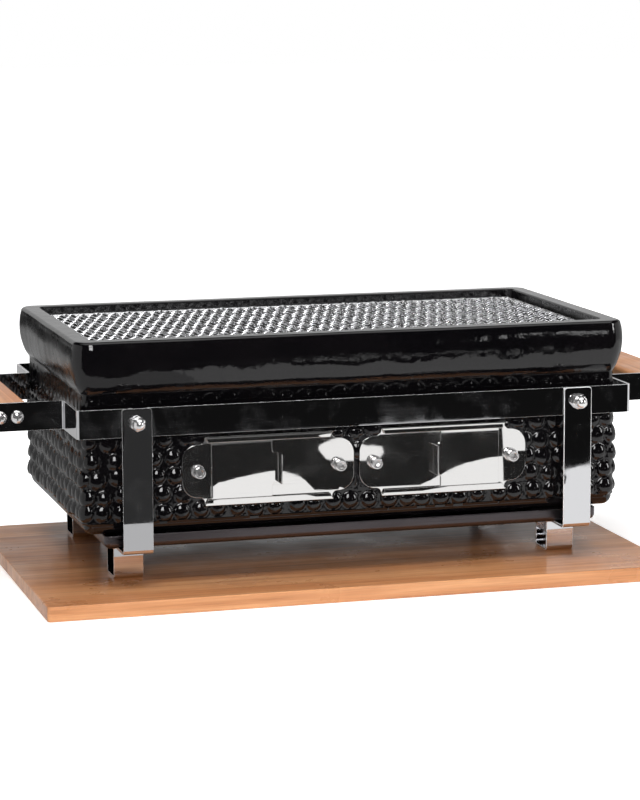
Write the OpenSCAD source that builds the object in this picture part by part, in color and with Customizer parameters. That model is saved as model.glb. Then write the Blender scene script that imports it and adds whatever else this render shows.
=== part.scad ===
// Table-top hibachi grill: a glazed ceramic fire trough in a bolted strap cradle, on a wooden board.
// Millimetres, +Z up. X runs along the trough. The origin is on the board's underside, midway
// between the four feet of the cradle.

/* [Board] */
// Length of the board along X
board_l = 478; // [440:1:620]
// Depth of the board along Y
board_w = 297; // [270:1:420]
// Thickness of the board
board_t = 11; // [8:0.5:24]
// Sideways place of the board's middle, from the grill's middle
board_x = -5; // [-15:1:15]
// Front-to-back place of the board's middle, from the grill's middle
board_y = -18; // [-30:1:10]
// Radius of the board's upright corners
board_corner_r = 3; // [1:0.5:20]

/* [Ceramic trough] */
// Length of the trough's rim along X
rim_l = 422; // [360:1:520]
// Width of the trough's rim along Y
rim_w = 230; // [200:1:300]
// Height of the smooth collar round the rim
collar_h = 39; // [25:0.5:45]
// How far the wall below the collar stands in from the rim
wall_inset = 5.75; // [3:0.25:9]
// Radius of the trough's upright corners
trough_corner_r = 14; // [12:0.5:24]
// Width of the flat rim between the outside and the mesh recess
rim_flat = 14; // [10:0.5:20]
// Width of the ledge that the cooking mesh lies on
mesh_ledge = 7; // [5:0.5:10]
// Width of the ledge that the charcoal grate lies on
grate_ledge = 9; // [6:0.5:12]
// Height of the charcoal grate's ledge above the air ports
grate_rise = 4; // [2:0.5:15]
// Thickness of the trough's floor
floor_t = 24; // [16:0.5:30]
// Height of the four ceramic feet that stand in the tray
foot_h = 8.8; // [6:0.2:14]
// Size of each ceramic foot along X and Y
foot_size = 38; // [20:1:50]

/* [Mesh and charcoal grate] */
// Wire diameter of the woven cooking mesh
mesh_wire = 1.7; // [1.2:0.1:3]
// Pitch of the woven wires
mesh_pitch = 12.7; // [8:0.1:20]
// Width and height of the folded edging round the mesh
mesh_rod = 5; // [3.6:0.1:6]
// How deep the top of the mesh lies below the rim
mesh_drop = 5; // [4:0.5:10]
// Clearance round the mesh in its recess
mesh_gap = 4; // [1:0.25:5]
// Thickness of the charcoal grate
grate_t = 2.5; // [2:0.25:5]
// Clearance round the charcoal grate
grate_gap = 2; // [1:0.25:4]
// Width of the slots in the charcoal grate
grate_slot_w = 7; // [4:0.5:9]
// Pitch of the slots in the charcoal grate
grate_slot_pitch = 14; // [12:0.5:24]

/* [Cradle] */
// Width of the leg straps
leg_strap_w = 22; // [16:0.5:30]
// Height of the band straps
band_h = 21; // [16:0.5:30]
// Thickness of every strap
strap_t = 2; // [1.5:0.25:3]
// Distance from each end of the band in to the middle of its leg strap
leg_from_end = 42.5; // [30:0.5:60]
// Space between the trough's rim and the band's inner face, front and back
band_side_gap = 7; // [5:0.5:14]
// Space between the trough's wall and the band's inner face, at the two ends
band_end_gap = 5.25; // [3:0.25:12]
// Height of the band's lower edge above the air vents
band_over_vents = 4.5; // [1:0.5:20]
// Height of the trough's collar above the band
collar_over_band = 8.5; // [3:0.5:25]
// Radius of the strap bends, on the strap's middle line
bend_r = 3; // [2:0.25:8]
// Radius of the round corners at the top of each leg
leg_corner_r = 2.5; // [1:0.5:5]
// Height of the gap between the board and the cradle's cross straps
foot_drop = 24.7; // [15:0.1:50]
// Length of each bent foot along Y, outside
foot_l = 25; // [16:0.5:40]
// Distance from a leg's outer face in to its foot's outer face
foot_setback = 35.7; // [20:0.1:50]

/* [Tray] */
// How far the tray reaches past the leg straps at each end
tray_past_legs = 10.5; // [3:0.5:18]
// How far the tray's long sides stand in from the rim
tray_inset = 4; // [3:0.5:12]
// Distance from the tray's wall to the trough's feet
tray_to_foot = 9; // [2:0.5:20]
// Sheet thickness of the tray
tray_t = 1.5; // [1:0.1:3]
// Clearance between the tray's upper edge and the trough
tray_gap = 0.4; // [0.2:0.1:2]

/* [Handles] */
// Distance between the outer faces of the two handle arms
handle_span = 146; // [110:1:170]
// Distance from the band's end to the tip of a handle arm
arm_l = 55; // [45:1:80]
// Width of a wooden grip along X
grip_w = 37; // [24:1:50]
// How far a grip reaches past the tip of its arms
grip_over = 7.5; // [3:0.5:12]
// Radius of the grip's long edges
grip_edge_r = 4; // [2:0.5:9]
// Distance between the two screws in one arm
grip_screw_pitch = 12.6; // [11:0.1:20]
// Diameter of the grip screws' heads
grip_screw_head_d = 9.5; // [7:0.1:10.5]
// Diameter of the grip screws' shanks
grip_screw_d = 4; // [3:0.1:5]
// Length of a grip screw inside the wood
grip_screw_l = 24; // [16:1:32]

/* [Cradle bolts] */
// Diameter of the cradle bolts' shanks
bolt_d = 6; // [5:0.5:8]
// Size across the flats of the bolt heads and dome nuts
bolt_flats = 10; // [8:0.5:13]
// Height of the bolt heads, inside the band
bolt_head_h = 4; // [3:0.1:5]
// Height of the dome nuts' hexagon
nut_hex_h = 5; // [4:0.1:7]
// Diameter of the dome nuts' dome
nut_dome_d = 9.2; // [7.5:0.1:12]

/* [Air vents] */
// Space between the two vent frames
vent_apart = 4.3; // [1:0.1:20]
// Distance from an open door's tab to the end of its channel
tab_end_gap = 2.8; // [0.5:0.1:8]
// Height of a vent's channel, over the folded rails
channel_h = 51; // [44:0.5:62]
// Width of the folded lip of each rail
lip_h = 4.5; // [3:0.25:7]
// Sheet thickness of the vent frames and doors
sheet_t = 1; // [0.8:0.1:1.5]
// Length of the screw ear at each end of a channel
ear_l = 16.75; // [12:0.25:18]
// Height of the screw ears
ear_h = 39.5; // [28:0.5:42]
// Radius of the ears' outer corners
ear_r = 12; // [6:0.5:14]
// Radius of the hollow corners where the ears meet the rails
ear_fillet_r = 4; // [1:0.5:5]
// Distance of the vent screws from the end of the channel
vent_screw_in = 5; // [5:0.5:10]
// Width of a sliding door
door_w = 45.7; // [38:0.1:55]
// Distance from a closed door's edge to the end of its channel
door_inset = 5; // [3:0.5:8]
// How far a door slides
door_travel = 38; // [30:0.5:46]
// Clearance between a door and its rails, at each edge and in thickness
door_gap = 0.3; // [0.2:0.05:0.6]
// Height of a door's finger tab
tab_h = 22; // [14:0.5:28]
// Distance from a door's edge to the bend of its tab
tab_root = 5.5; // [4.5:0.25:7]
// How far a tab stands out from its door
tab_out = 9; // [6:0.5:9.5]
// Width of an air port through the trough's wall
port_w = 34; // [24:0.5:36]
// Height of an air port
port_h = 28; // [20:0.5:36]
// Height of the air ports above the trough's floor
port_sill = 6; // [2:0.5:12]
// How far the flat pads behind the vents stand out from the trough's wall
pad_t = 1.2; // [0.8:0.1:2]
// Diameter of the vent screws' shanks
vent_screw_d = 5; // [4:0.5:6]
// Diameter of the vent screws' heads
vent_head_d = 8.5; // [7:0.1:9.5]
// Height of the vent screws' heads
vent_head_h = 5; // [4:0.1:6]
// Diameter of the flat washers
washer_d = 10; // [9:0.5:11]
// Thickness of the flat washers
washer_t = 1; // [0.8:0.1:1.2]
// Thickness of the spring washers
spring_washer_t = 1.6; // [1.2:0.1:2]
// Diameter of the threaded inserts in the trough
insert_d = 8; // [7.5:0.5:10]
// Length of the threaded inserts
insert_l = 14; // [10:1:16]

/* [Hidden] */
$fn = 48;

steel = "lightgray";
wood = "peru";
glaze = [0.13, 0.13, 0.14];

// Clearance of a shank in a drilled hole, on the radius
hole_gap = 0.25;
// Clearance between a threaded part and what it screws into, on the radius
thread_gap = 0.05;
// Overcut, so that no cut ends on a face
over = 1;

// Heights
strap_top_z = board_t + foot_drop + strap_t;
tray_floor_z = strap_top_z + tray_t;
trough_z = tray_floor_z + foot_h;
tray_edge_z = trough_z - tray_gap;
floor_z = trough_z + floor_t;
vent_z = floor_z + port_sill + port_h / 2;
grate_z = vent_z + port_h / 2 + grate_rise;
band_z = vent_z + channel_h / 2 + band_over_vents;
bolt_z = band_z + band_h / 2;
band_top_z = band_z + band_h;
rim_z = band_top_z + collar_over_band + collar_h;
trough_h = rim_z - trough_z;
mesh_top_z = rim_z - mesh_drop;
mesh_ledge_z = mesh_top_z - mesh_rod;

// Plan sizes of the trough, from the outside in
wall_l = rim_l - 2 * wall_inset;
wall_w = rim_w - 2 * wall_inset;
recess_l = rim_l - 2 * rim_flat;
recess_w = rim_w - 2 * rim_flat;
fire_l = recess_l - 2 * mesh_ledge;
fire_w = recess_w - 2 * mesh_ledge;
ash_l = fire_l - 2 * grate_ledge;
ash_w = fire_w - 2 * grate_ledge;
recess_r = 6;
cavity_r = 6;

// The trough's outer profile, as [set in from the widest line, height above the underside]
bulge = 1.5;
bottom_r = 7;
belly_inset = wall_inset + bulge;
rim_edge = 3;

// Band and leg outlines, on the strap's middle line
band_y = rim_w / 2 + band_side_gap + strap_t / 2;
band_x = wall_l / 2 + band_end_gap + strap_t / 2;
arm_y = handle_span / 2 - strap_t / 2;
arm_tip_x = band_x + strap_t / 2 + arm_l;
leg_x = band_x - leg_from_end;
leg_y = band_y + strap_t;
leg_face_y = leg_y + strap_t / 2;
foot_out_y = leg_face_y - foot_setback - strap_t / 2;
foot_in_y = leg_face_y - foot_setback - foot_l + strap_t / 2;
cross_z = strap_top_z - strap_t / 2;
foot_z = board_t + strap_t / 2;

// Tray, under the trough and between the legs
tray_l = 2 * (leg_x + leg_strap_w / 2 + tray_past_legs);
tray_w = rim_w - 2 * tray_inset;
tray_r = 5;
foot_x = tray_l / 2 - tray_t - tray_to_foot - foot_size / 2;
foot_y = tray_w / 2 - tray_t - tray_to_foot - foot_size / 2;

// Grips
grip_out_x = arm_tip_x + grip_over;
grip_in_x = grip_out_x - grip_w;
grip_l = 2 * (arm_y - strap_t / 2);
grip_screw_mid_x = (grip_in_x + arm_tip_x) / 2;
grip_screw_head_h = 3;
grip_z = bolt_z;

// Vents, from the trough's wall outward
channel_l = door_inset + door_w + door_travel + tab_root + tab_end_gap;
vent_x = vent_apart / 2 + ear_l + channel_l / 2;
vent_screw_x = channel_l / 2 + vent_screw_in;
pad_y = wall_w / 2 + pad_t;
plate_y = pad_y + sheet_t;
door_back_y = plate_y + door_gap;
door_front_y = door_back_y + sheet_t;
lip_back_y = door_front_y + door_gap;
lip_front_y = lip_back_y + sheet_t;
door_h = channel_h - 2 * sheet_t - 2 * door_gap;
door_mid_x = -channel_l / 2 + door_inset + door_w / 2;
window_margin = 1;
screw_spots = [-vent_screw_x, vent_screw_x];
pad_l = channel_l + 2 * ear_l + 3;
pad_h = channel_h + 3;

// ---- Shared shapes ----

// Outline of a rectangle with round corners, centred
module round_rect(l, w, r) {
    square([l - 2 * r, w], center = true);
    square([l, w - 2 * r], center = true);
    for (x = [-1, 1], y = [-1, 1])
        translate([x * (l / 2 - r), y * (w / 2 - r)])
            circle(r);
}

// Block with round upright corners, centred in plan and standing on z = 0
module round_block(l, w, h, r) {
    linear_extrude(height = h)
        round_rect(l, w, r);
}

// Solid whose side profile runs round a rectangle with round corners. The profile is a list of
// [set in from the outline, height], from the bottom up.
module profiled_block(l, w, r, profile) {
    low = profile[0][1];
    high = profile[len(profile) - 1][1];
    corner = concat([[0, low]], [for (p = profile) [r - p[0], p[1]]], [[0, high]]);
    for (x = [-1, 1], y = [-1, 1])
        translate([x * (l / 2 - r), y * (w / 2 - r), 0])
            rotate((y > 0 ? (x > 0 ? 0 : 90) : (x > 0 ? 270 : 180)))
                rotate_extrude(angle = 90)
                    polygon(corner);
    for (side = [0, 180]) {
        rotate(side)
            translate([l / 2 - r, w / 2 - r, 0])
                rotate([90, 0, 0])
                    linear_extrude(height = w - 2 * r)
                        polygon(corner);
        rotate(side)
            translate([-l / 2 + r, w / 2 - r, 0])
                rotate([90, 0, 90])
                    linear_extrude(height = l - 2 * r)
                        polygon(corner);
    }
    translate([-l / 2 + r, -w / 2 + r, low])
        cube([l - 2 * r, w - 2 * r, high - low]);
}

function unit(v) = v / norm(v);

// Flat outline of a strip bent at right angles along a path of points on its middle line
module bent_strip(path, t, r) {
    last = len(path) - 1;
    for (i = [0 : last - 1]) {
        along = unit(path[i + 1] - path[i]);
        start = path[i] + along * (i == 0 ? 0 : r);
        stop = path[i + 1] - along * (i == last - 1 ? 0 : r);
        translate(start)
            rotate(atan2(along[1], along[0]))
                translate([0, -t / 2])
                    square([norm(stop - start), t]);
    }
    for (i = [1 : last - 1]) {
        into = unit(path[i] - path[i - 1]);
        away = unit(path[i + 1] - path[i]);
        reach = 2 * r + t;
        translate(path[i] - into * r + away * r)
            intersection() {
                difference() {
                    circle(r + t / 2);
                    circle(r - t / 2);
                }
                polygon([[0, 0], -away * reach, (into - away) * reach, into * reach]);
            }
    }
}

// Cylinder along Y that starts at y = 0 and runs to y = -h, towards the front
module front_rod(d, h) {
    rotate([90, 0, 0])
        cylinder(d = d, h = h);
}

// ---- Board ----

module base_board() {
    color(wood)
        translate([board_x, board_y, 0])
            round_block(board_l, board_w, board_t, board_corner_r);
}

// ---- Ceramic trough ----

trough_profile = [
    [belly_inset + bottom_r * 0.7, 0],
    [belly_inset + bottom_r * 0.25, bottom_r * 0.3],
    [belly_inset, bottom_r],
    [belly_inset, trough_h - collar_h],
    [bulge + 2.2, trough_h - collar_h + 5],
    [bulge, trough_h - 25],
    [0, trough_h - 15],
    [0.6, trough_h - rim_edge - 3],
    [bulge, trough_h - rim_edge],
    [bulge + rim_edge * 0.3, trough_h - rim_edge * 0.3],
    [bulge + rim_edge, trough_h]
];

module air_port(side) {
    translate([side * (vent_x - door_mid_x), -pad_y - over, vent_z])
        translate([-port_w / 2, 0, -port_h / 2])
            cube([port_w, (wall_w - ash_w) / 2 + pad_t + 2 * over, port_h]);
}

module ceramic_body() {
    color(glaze)
        difference() {
            union() {
                translate([0, 0, trough_z])
                    profiled_block(rim_l + 2 * bulge, rim_w + 2 * bulge,
                                   trough_corner_r, trough_profile);
                for (side = [-1, 1])
                    translate([side * vent_x - pad_l / 2, -pad_y, vent_z - pad_h / 2])
                        cube([pad_l, pad_t + over, pad_h]);
                for (x = [-1, 1], y = [-1, 1])
                    translate([x * foot_x, y * foot_y, tray_floor_z])
                        round_block(foot_size, foot_size, foot_h + over, 5);
            }
            translate([0, 0, mesh_ledge_z])
                round_block(recess_l, recess_w, rim_z - mesh_ledge_z + over, recess_r);
            translate([0, 0, grate_z])
                round_block(fire_l, fire_w, mesh_ledge_z - grate_z + over, cavity_r);
            translate([0, 0, floor_z])
                round_block(ash_l, ash_w, grate_z - floor_z + over, cavity_r);
            for (side = [-1, 1])
                air_port(side);
            for (side = [-1, 1], x = screw_spots)
                translate([side * vent_x + x, -pad_y - over, vent_z])
                    rotate([-90, 0, 0])
                        cylinder(d = insert_d, h = insert_l + over);
        }
}

// ---- Cooking mesh and charcoal grate ----

mesh_l = recess_l - 2 * mesh_gap;
mesh_w = recess_w - 2 * mesh_gap;
mesh_count_x = floor((mesh_l - 2 * mesh_rod) / mesh_pitch / 2);
mesh_count_y = floor((mesh_w - 2 * mesh_rod) / mesh_pitch / 2);

// Wires along X in the lower layer, wires along Y resting on them
module cooking_mesh() {
    color(steel)
        translate([0, 0, mesh_top_z - 2 * mesh_wire]) {
            linear_extrude(height = mesh_wire)
                for (i = [-mesh_count_y : mesh_count_y])
                    translate([0, i * mesh_pitch])
                        square([mesh_l - 2 * mesh_rod, mesh_wire], center = true);
            translate([0, 0, mesh_wire])
                linear_extrude(height = mesh_wire)
                    for (i = [-mesh_count_x : mesh_count_x])
                        translate([i * mesh_pitch, 0])
                            square([mesh_wire, mesh_w - 2 * mesh_rod], center = true);
        }
}

module mesh_frame() {
    color(steel)
        translate([0, 0, mesh_ledge_z])
            linear_extrude(height = mesh_rod)
                difference() {
                    round_rect(mesh_l, mesh_w, recess_r);
                    square([mesh_l - 2 * mesh_rod, mesh_w - 2 * mesh_rod], center = true);
                }
}

module slot(l, w) {
    square([l - w, w], center = true);
    for (x = [-1, 1])
        translate([x * (l - w) / 2, 0])
            circle(d = w);
}

grate_l = fire_l - 2 * grate_gap;
grate_w = fire_w - 2 * grate_gap;
grate_rows = 3;
grate_row_pitch = (grate_w - 2 * grate_ledge) / grate_rows;
grate_slots = floor((grate_l - 2 * grate_ledge - grate_slot_w) / grate_slot_pitch / 2);

module charcoal_grate() {
    color("dimgray")
        translate([0, 0, grate_z])
            linear_extrude(height = grate_t)
                difference() {
                    round_rect(grate_l, grate_w, cavity_r - grate_gap);
                    for (i = [-grate_slots : grate_slots], j = [1 : grate_rows])
                        translate([i * grate_slot_pitch,
                                   (j - (grate_rows + 1) / 2) * grate_row_pitch])
                            rotate(90)
                                slot(grate_row_pitch - grate_slot_w, grate_slot_w);
                }
}

// ---- Cradle ----

band_path = [
    [-arm_tip_x, -arm_y], [-band_x, -arm_y], [-band_x, -band_y],
    [band_x, -band_y], [band_x, -arm_y], [arm_tip_x, -arm_y]
];

module band() {
    difference() {
        translate([0, 0, band_z])
            linear_extrude(height = band_h)
                bent_strip(band_path, strap_t, bend_r);
        for (x = [-leg_x, leg_x])
            translate([x, -band_y + strap_t, bolt_z])
                front_rod(bolt_d + 2 * hole_gap, 2 * strap_t);
        for (side = [-1, 1], x = [-1, 1])
            translate([side * grip_screw_mid_x + x * grip_screw_pitch / 2,
                       -arm_y + strap_t, grip_z])
                front_rod(grip_screw_d + 2 * hole_gap, 2 * strap_t);
    }
}

module front_band() {
    color(steel)
        band();
}

module back_band() {
    color(steel)
        mirror([0, 1, 0])
            band();
}

// Half of a hoop, in the Y-Z plane, from the front leg's top to the middle
hoop_half = [
    [-leg_y, band_top_z], [-leg_y, cross_z], [-foot_out_y, cross_z],
    [-foot_out_y, foot_z], [-foot_in_y, foot_z], [-foot_in_y, cross_z]
];
hoop_path = concat(hoop_half,
                   [for (i = [len(hoop_half) - 1 : -1 : 0]) [-hoop_half[i][0], hoop_half[i][1]]]);

module hoop(x) {
    color(steel)
        difference() {
            intersection() {
                translate([x - leg_strap_w / 2, 0, 0])
                    rotate([90, 0, 90])
                        linear_extrude(height = leg_strap_w)
                            bent_strip(hoop_path, strap_t, bend_r);
                translate([x, leg_face_y + over, band_top_z / 2])
                    rotate([90, 0, 0])
                        linear_extrude(height = 2 * (leg_face_y + over))
                            round_rect(leg_strap_w, band_top_z, leg_corner_r);
            }
            for (y = [-leg_y + strap_t, leg_y + strap_t])
                translate([x, y, bolt_z])
                    front_rod(bolt_d + 2 * hole_gap, 2 * strap_t);
        }
}

module left_hoop() {
    hoop(-leg_x);
}

module right_hoop() {
    hoop(leg_x);
}

// Places its children at the four cradle bolts, turned so that -Y points outward
module at_bolts() {
    for (x = [-leg_x, leg_x], turn = [0, 180])
        translate([x, 0, bolt_z])
            rotate(turn)
                children();
}

hex_d = bolt_flats / cos(30);
nut_inner_l = nut_hex_h + 1.5;

module hoop_bolts() {
    color(steel)
        at_bolts() {
            translate([0, -band_y + strap_t / 2 + bolt_head_h, 0])
                rotate([90, 0, 0])
                    cylinder(d = hex_d, h = bolt_head_h, $fn = 6);
            translate([0, -band_y + strap_t / 2 + over, 0])
                front_rod(bolt_d, over + 2 * strap_t + nut_inner_l);
        }
}

module dome_nuts() {
    color(steel)
        at_bolts()
            translate([0, -leg_face_y, 0])
                difference() {
                    union() {
                        rotate([90, 0, 0])
                            cylinder(d = hex_d, h = nut_hex_h, $fn = 6);
                        front_rod(nut_dome_d, nut_hex_h + 2);
                        translate([0, -nut_hex_h - 2, 0])
                            intersection() {
                                sphere(d = nut_dome_d);
                                front_rod(nut_dome_d + 2, nut_dome_d);
                            }
                    }
                    translate([0, over, 0])
                        front_rod(bolt_d + 2 * thread_gap, nut_inner_l + over + 0.5);
                }
}

// ---- Tray ----

module base_tray() {
    color("silver")
        translate([0, 0, strap_top_z])
            difference() {
                round_block(tray_l, tray_w, tray_edge_z - strap_top_z, tray_r);
                translate([0, 0, tray_t])
                    round_block(tray_l - 2 * tray_t, tray_w - 2 * tray_t,
                                tray_edge_z - strap_top_z, tray_r - tray_t);
            }
}

// ---- Handles ----

module at_grip_screws(sides) {
    for (side = sides, x = [-1, 1], turn = [0, 180])
        translate([side * grip_screw_mid_x + x * grip_screw_pitch / 2, 0, grip_z])
            rotate(turn)
                children();
}

module grip(side) {
    color(wood)
        difference() {
            translate([side * (grip_in_x + grip_w / 2), grip_l / 2, grip_z])
                rotate([90, 0, 0])
                    linear_extrude(height = grip_l)
                        round_rect(grip_w, band_h, grip_edge_r);
            at_grip_screws([side])
                translate([0, -grip_l / 2 + grip_screw_l, 0])
                    front_rod(grip_screw_d + 2 * thread_gap, grip_screw_l + over);
        }
}

module left_grip() {
    grip(-1);
}

module right_grip() {
    grip(1);
}

module grip_screws() {
    color(steel)
        at_grip_screws([-1, 1]) {
            translate([0, -grip_l / 2 + grip_screw_l - over, 0])
                front_rod(grip_screw_d, grip_screw_l - over + strap_t + over);
            translate([0, -grip_l / 2 - strap_t, 0])
                front_rod(grip_screw_head_d, grip_screw_head_h);
        }
}

// ---- Air vents ----
// A vent is drawn round its own middle, with the closed door at its -X end, and the outline
// lies in the X-Z plane. The right-hand vent is the left-hand one mirrored.

// Stands a flat outline up in the X-Z plane, with its back at distance back from the trough's middle
module upright_sheet(back, t) {
    translate([0, -back, 0])
        rotate([90, 0, 0])
            linear_extrude(height = t)
                children();
}

module ear_outline() {
    round_rect(channel_l + 2 * ear_l, ear_h, ear_r);
    for (x = [-1, 1], y = [-1, 1])
        scale([x, y])
            translate([channel_l / 2, ear_h / 2])
                difference() {
                    translate([-over, -over])
                        square(ear_fillet_r + over);
                    translate([ear_fillet_r, ear_fillet_r])
                        circle(ear_fillet_r);
                }
}

module frame_outline() {
    difference() {
        union() {
            square([channel_l, channel_h], center = true);
            ear_outline();
        }
        translate([door_mid_x, 0])
            square([port_w + 2 * window_margin, port_h + 2 * window_margin], center = true);
        for (x = screw_spots)
            translate([x, 0])
                circle(d = vent_screw_d + 2 * hole_gap);
    }
}

// Folded lip of the upper rail, with slanted ends
module lip_outline() {
    polygon([
        [-channel_l / 2, channel_h / 2], [channel_l / 2, channel_h / 2],
        [channel_l / 2 - lip_h / 2, channel_h / 2 - lip_h],
        [-channel_l / 2 + lip_h / 2, channel_h / 2 - lip_h]
    ]);
}

module vent_frame() {
    upright_sheet(pad_y, sheet_t)
        frame_outline();
    for (flip = [0, 1])
        mirror([0, 0, flip]) {
            upright_sheet(pad_y, lip_front_y - pad_y)
                translate([-channel_l / 2, channel_h / 2 - sheet_t])
                    square([channel_l, sheet_t]);
            upright_sheet(lip_back_y, sheet_t)
                lip_outline();
        }
}

module door_outline() {
    edge = door_w / 2;
    translate([door_mid_x, 0]) {
        square([door_w, door_h], center = true);
        translate([edge - over, -tab_h / 2])
            square([tab_root + over, tab_h]);
        for (y = [-1, 1])
            scale([1, y])
                translate([edge, tab_h / 2])
                    difference() {
                        translate([-over, -over])
                            square(3 + over);
                        translate([3, 3])
                            circle(3);
                    }
    }
}

module vent_door() {
    upright_sheet(door_back_y, sheet_t)
        door_outline();
    upright_sheet(door_back_y, sheet_t + tab_out)
        translate([door_mid_x + door_w / 2 + tab_root - sheet_t, -tab_h / 2])
            square([sheet_t, tab_h]);
}

// Places its children at one vent: side -1 is the left one, 1 the right one
module at_vent(side) {
    translate([side * vent_x, 0, vent_z])
        mirror([side > 0 ? 1 : 0, 0, 0])
            children();
}

module vent_frame_left() {
    color(steel)
        at_vent(-1)
            vent_frame();
}

module vent_frame_right() {
    color(steel)
        at_vent(1)
            vent_frame();
}

module vent_door_left() {
    color(steel)
        at_vent(-1)
            vent_door();
}

module vent_door_right() {
    color(steel)
        at_vent(1)
            vent_door();
}

// Places its children at the four vent screws, at distance back from the trough's middle
module at_vent_screws(back) {
    for (side = [-1, 1], x = screw_spots)
        translate([side * vent_x + x, -back, vent_z])
            children();
}

head_y = plate_y + washer_t + spring_washer_t;

module ring(outer_d, inner_d, h) {
    difference() {
        front_rod(outer_d, h);
        translate([0, over, 0])
            front_rod(inner_d, h + 2 * over);
    }
}

module vent_screws() {
    color(steel)
        at_vent_screws(head_y)
            difference() {
                union() {
                    front_rod(vent_head_d, vent_head_h);
                    translate([0, head_y - pad_y + insert_l - over, 0])
                        front_rod(vent_screw_d, head_y - pad_y + insert_l);
                }
                translate([0, -vent_head_h / 2, 0])
                    rotate([90, 0, 0])
                        cylinder(d = 4 / cos(30), h = vent_head_h, $fn = 6);
            }
}

module vent_washers() {
    color(steel)
        at_vent_screws(plate_y)
            ring(washer_d, vent_screw_d + 2 * hole_gap, washer_t);
}

module vent_spring_washers() {
    color(steel)
        at_vent_screws(plate_y + washer_t)
            ring(vent_head_d - 0.1, vent_screw_d + 2 * hole_gap, spring_washer_t);
}

module vent_inserts() {
    color("gold")
        at_vent_screws(pad_y - insert_l)
            ring(insert_d, vent_screw_d + 2 * thread_gap, insert_l);
}

base_board();
ceramic_body();
base_tray();
cooking_mesh();
mesh_frame();
charcoal_grate();
front_band();
back_band();
left_hoop();
right_hoop();
hoop_bolts();
dome_nuts();
left_grip();
right_grip();
grip_screws();
vent_frame_left();
vent_frame_right();
vent_door_left();
vent_door_right();
vent_screws();
vent_washers();
vent_spring_washers();
vent_inserts();
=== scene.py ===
"""Looks of the table-top hibachi grill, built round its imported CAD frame.

Every length is in metres in the row frame: X along the trough, the air vents face -Y, +Z up.
"""
import math

import bmesh
import bpy
import numpy as np
from mathutils import Matrix, Vector


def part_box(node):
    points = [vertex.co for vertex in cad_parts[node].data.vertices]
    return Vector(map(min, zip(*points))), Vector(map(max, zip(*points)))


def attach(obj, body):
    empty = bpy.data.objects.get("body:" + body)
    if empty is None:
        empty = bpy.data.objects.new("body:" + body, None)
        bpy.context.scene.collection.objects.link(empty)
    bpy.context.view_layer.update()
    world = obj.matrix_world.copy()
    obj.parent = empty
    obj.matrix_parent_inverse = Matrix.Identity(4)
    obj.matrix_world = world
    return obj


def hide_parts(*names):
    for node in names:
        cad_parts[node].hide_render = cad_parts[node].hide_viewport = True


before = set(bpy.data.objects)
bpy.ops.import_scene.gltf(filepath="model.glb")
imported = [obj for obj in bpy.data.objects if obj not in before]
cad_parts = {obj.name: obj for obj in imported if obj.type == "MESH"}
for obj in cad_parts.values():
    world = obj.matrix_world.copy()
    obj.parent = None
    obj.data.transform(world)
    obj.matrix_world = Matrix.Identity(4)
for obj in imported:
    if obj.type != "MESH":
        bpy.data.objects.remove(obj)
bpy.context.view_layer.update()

MM = 0.001

# Sizes that the boxes of the CAD nodes don't give
STRAP_T = 2 * MM
STRAP_EDGE_R = 0.6 * MM
TROUGH_CORNER_R = 14 * MM
WALL_INSET = 7.25 * MM
COLLAR_H = 39 * MM
RIM_FLAT = 14 * MM
MESH_LEDGE = 7 * MM
GRATE_LEDGE = 9 * MM
FLOOR_T = 24 * MM
FOOT_H = 8.8 * MM
FOOT_CORNER_R = 5 * MM
CAVITY_R = 6 * MM
DOOR_W = 45.7 * MM
PORT_W = 34 * MM
PORT_H = 28 * MM
INSERT_R = 4 * MM
INSERT_L = 14 * MM
FOOT_SIZE = 38 * MM
FOOT_FROM_TRAY = 29.5 * MM
SCREW_FROM_EAR = 11.75 * MM
GRIP_SCREW_R = 4.75 * MM
NUT_FLATS = 10 * MM
SOCKET_HEAD_H = 5 * MM
GRIP_SCREW_PITCH = 12.6 * MM
EAR_L = 16.75 * MM
EAR_H = 39.5 * MM
MESH_PITCH = 12.7 * MM
MESH_WIRE = 1.7 * MM
MESH_CRIMPS = 3


# ---- Camera ----

CAMERA_AZIMUTH = -15.98
CAMERA_ELEVATION = 9.04
CAMERA_ROLL = 0.23
CAMERA_DISTANCE = 2.223
CAMERA_TARGET = Vector((0.0038, 0.0, 0.1220))
CAMERA_LENS = 128.8


def make_camera():
    azimuth, elevation = math.radians(CAMERA_AZIMUTH), math.radians(CAMERA_ELEVATION)
    back = Vector((math.sin(azimuth) * math.cos(elevation),
                   -math.cos(azimuth) * math.cos(elevation),
                   math.sin(elevation)))
    data = bpy.data.cameras.new("camera")
    data.lens = CAMERA_LENS
    data.clip_end = 50
    camera = bpy.data.objects.new("camera", data)
    bpy.context.scene.collection.objects.link(camera)
    turn = back.to_track_quat("Z", "Y").to_matrix().to_4x4()
    roll = Matrix.Rotation(math.radians(-CAMERA_ROLL), 4, "Z")
    camera.matrix_world = Matrix.Translation(CAMERA_TARGET + back * CAMERA_DISTANCE) @ turn @ roll
    bpy.context.scene.camera = camera


make_camera()


# ---- Shader helpers ----

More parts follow.
